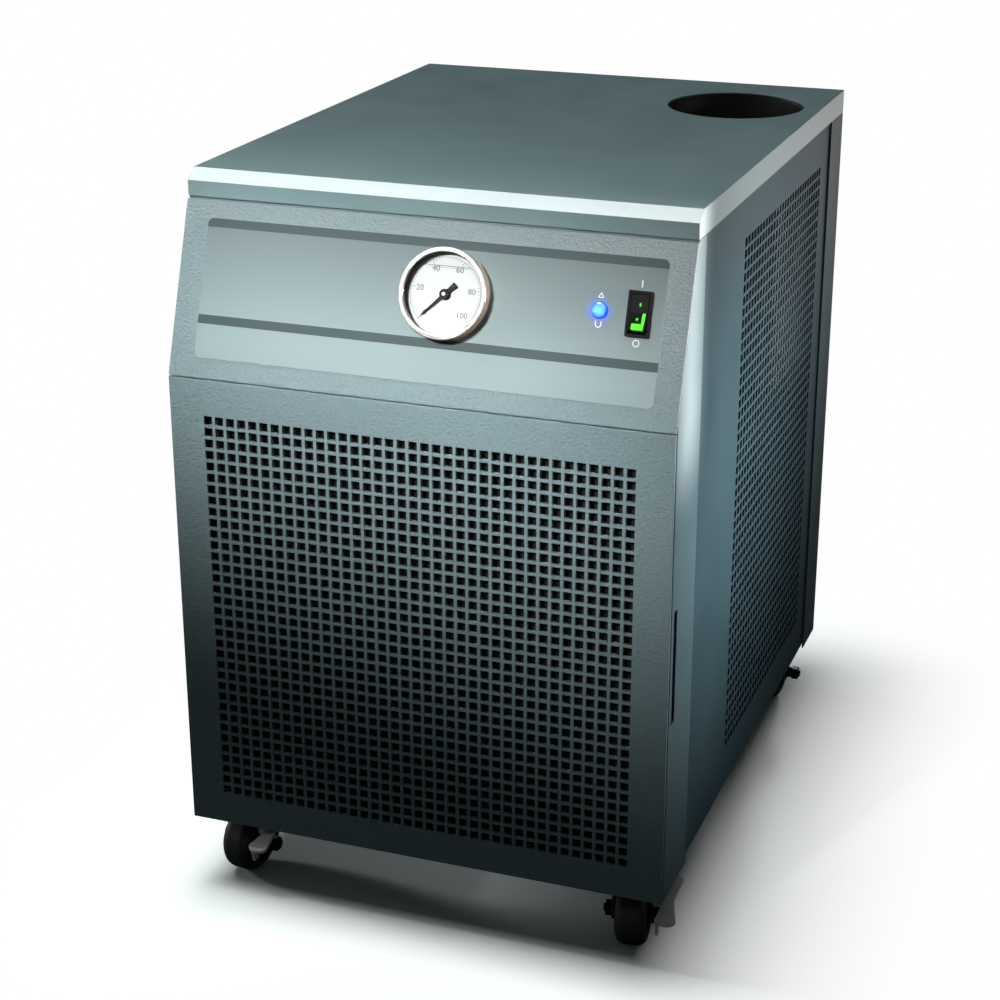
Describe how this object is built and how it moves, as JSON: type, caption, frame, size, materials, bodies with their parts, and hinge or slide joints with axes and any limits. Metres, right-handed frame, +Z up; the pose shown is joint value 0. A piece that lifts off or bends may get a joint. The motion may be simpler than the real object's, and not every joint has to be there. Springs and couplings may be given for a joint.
{
  "type": "recirculating chiller",
  "caption": "Floor-standing recirculating chiller: a grey sheet-metal cabinet on casters with a perforated front, sloped gauge panel and round fill well in the lid.",
  "frame": {"origin": "centre of the bounding box in plan, on the floor under the casters", "axes": "+Z up; the front with the grille and the controls faces -Y; +X is to the right seen from the front"},
  "size_m": [0.3761, 0.5229, 0.5426],
  "materials": {
    "black_plastic": "black moulded plastic",
    "bolt_steel": "blackened steel",
    "box_plastic": "grey moulded plastic",
    "cap_plastic": "black moulded plastic",
    "caster_steel": "zinc-plated pressed steel",
    "catch_nylon": "black nylon",
    "compressor_paint": "black enamel on a deep-drawn shell",
    "core_aluminium": "aluminium fins and header tubes",
    "dial_paint": "white dial with black figures",
    "exchanger_steel": "brazed stainless plates",
    "filter_foam": "open-cell black foam",
    "frame_paint": "blue-grey satin powder coat",
    "front_paint": "grey powder coat with a fine leather grain",
    "gauge_glass": "clear flat glass",
    "gauge_steel": "bright stainless steel",
    "grommet_rubber": "soft black rubber",
    "hose_rubber": "black reinforced hose",
    "lamp_lens": "blue translucent lens",
    "lid_paint": "grey-green satin powder coat",
    "line_copper": "drawn copper",
    "motor_paint": "black enamel",
    "overlay_film": "satin printed film in two greys",
    "pedal_plastic": "light grey moulded plastic",
    "pointer_paint": "black lacquer",
    "pump_brass": "machined brass",
    "rocker_plastic": "black rocker with a green light pipe",
    "screw_steel": "zinc-plated steel",
    "side_paint": "dark blue-grey satin powder coat",
    "tank_plastic": "natural translucent polyethylene",
    "well_plastic": "black moulded plastic",
    "wheel_rubber": "black solid rubber",
    "zinc_sheet": "zinc-plated folded sheet steel"
  },
  "bodies": {
    "cabinet": {"air_filter": "filter_foam", "base_pan": "zinc_sheet", "caster_plates": "caster_steel", "component_shelf": "zinc_sheet", "compressor": "compressor_paint", "compressor_grommets": "grommet_rubber", "condenser": "core_aluminium", "control_box": "box_plastic", "control_overlay": "overlay_film", "coolant_hoses": "hose_rubber", "corner_posts": "zinc_sheet", "drain_plug": "pump_brass", "fan_motor": "motor_paint", "fan_shroud": "black_plastic", "fascia": "front_paint", "fill_well": "well_plastic", "filter_drier": "line_copper", "front_frame": "frame_paint", "gauge_bezel": "gauge_steel", "gauge_case": "gauge_steel", "gauge_clamp": "zinc_sheet", "gauge_dial": "dial_paint", "gauge_window": "gauge_glass", "grille_catches": "catch_nylon", "lamp_holder": "black_plastic", "left_side_panel": "side_paint", "plate_exchanger": "exchanger_steel", "power_inlet": "black_plastic", "pump_head": "pump_brass", "pump_motor": "motor_paint", "rear_panel": "frame_paint", "rear_screws": "screw_steel", "refrigerant_lines": "line_copper", "reservoir": "tank_plastic", "return_port": "pump_brass", "right_side_panel": "side_paint", "supply_port": "pump_brass", "switch_housing": "black_plastic", "top_cover": "lid_paint", "warning_lamp": "lamp_lens"},
    "fork_front_left": {"fork_front_left": "caster_steel", "axle_bolt_front_left": "bolt_steel"},
    "wheel_front_left": {"wheel_front_left": "wheel_rubber"},
    "pedal_front_left": {"brake_pedal_front_left": "pedal_plastic"},
    "fork_front_right": {"fork_front_right": "caster_steel", "axle_bolt_front_right": "bolt_steel"},
    "wheel_front_right": {"wheel_front_right": "wheel_rubber"},
    "pedal_front_right": {"brake_pedal_front_right": "pedal_plastic"},
    "fork_rear_left": {"fork_rear_left": "caster_steel", "axle_bolt_rear_left": "bolt_steel"},
    "wheel_rear_left": {"wheel_rear_left": "wheel_rubber"},
    "fork_rear_right": {"fork_rear_right": "caster_steel", "axle_bolt_rear_right": "bolt_steel"},
    "wheel_rear_right": {"wheel_rear_right": "wheel_rubber"},
    "grille": {"grille_panel": "front_paint"},
    "pointer": {"gauge_pointer": "pointer_paint"},
    "rocker": {"switch_rocker": "rocker_plastic"},
    "fan": {"fan": "black_plastic"},
    "cap": {"filler_cap": "cap_plastic"}
  },
  "joints": [
    {"name": "swivel_front_left", "type": "hinge", "parent": "cabinet", "child": "fork_front_left", "pos_m": [-0.152, -0.209, 0.05775], "axis": [0, 0, 1], "continuous": true},
    {"name": "roll_front_left", "type": "hinge", "parent": "fork_front_left", "child": "wheel_front_left", "pos_m": [-0.15444, -0.22633, 0.025], "axis": [0.9903, -0.1392, 0], "continuous": true},
    {"name": "brake_front_left", "type": "hinge", "parent": "fork_front_left", "child": "pedal_front_left", "pos_m": [-0.12924, -0.23744, 0.039], "axis": [0.9903, -0.1392, 0], "range_deg": [-26, 0]},
    {"name": "swivel_front_right", "type": "hinge", "parent": "cabinet", "child": "fork_front_right", "pos_m": [0.152, -0.209, 0.05775], "axis": [0, 0, 1], "continuous": true},
    {"name": "roll_front_right", "type": "hinge", "parent": "fork_front_right", "child": "wheel_front_right", "pos_m": [0.15444, -0.22633, 0.025], "axis": [0.9903, 0.1392, 0], "continuous": true},
    {"name": "brake_front_right", "type": "hinge", "parent": "fork_front_right", "child": "pedal_front_right", "pos_m": [0.18172, -0.23007, 0.039], "axis": [0.9903, 0.1392, 0], "range_deg": [-26, 0]},
    {"name": "swivel_rear_left", "type": "hinge", "parent": "cabinet", "child": "fork_rear_left", "pos_m": [-0.152, 0.186, 0.05775], "axis": [0, 0, 1], "continuous": true},
    {"name": "roll_rear_left", "type": "hinge", "parent": "fork_rear_left", "child": "wheel_rear_left", "pos_m": [-0.15292, 0.20348, 0.025], "axis": [-0.9986, -0.0523, 0], "continuous": true},
    {"name": "swivel_rear_right", "type": "hinge", "parent": "cabinet", "child": "fork_rear_right", "pos_m": [0.152, 0.186, 0.05775], "axis": [0, 0, 1], "continuous": true},
    {"name": "roll_rear_right", "type": "hinge", "parent": "fork_rear_right", "child": "wheel_rear_right", "pos_m": [0.15292, 0.20348, 0.025], "axis": [-0.9986, 0.0523, 0], "continuous": true},
    {"name": "grille_pull", "type": "slide", "parent": "cabinet", "child": "grille", "axis": [0, -1, 0], "range_m": [0, 0.12]},
    {"name": "pointer_turn", "type": "hinge", "parent": "cabinet", "child": "pointer", "pos_m": [0.016, -0.23794, 0.47794], "axis": [0, 0.9417, -0.3365], "range_deg": [0, 270]},
    {"name": "rocker_tilt", "type": "hinge", "parent": "cabinet", "child": "rocker", "pos_m": [0.1504, -0.23103, 0.47526], "axis": [1, 0, 0], "range_deg": [0, 18]},
    {"name": "fan_spin", "type": "hinge", "parent": "cabinet", "child": "fan", "pos_m": [0, -0.1895, 0.2205], "axis": [0, 1, 0], "continuous": true},
    {"name": "cap_lift", "type": "slide", "parent": "cabinet", "child": "cap", "axis": [0, 0, 1], "range_m": [0, 0.08]}
  ]
}
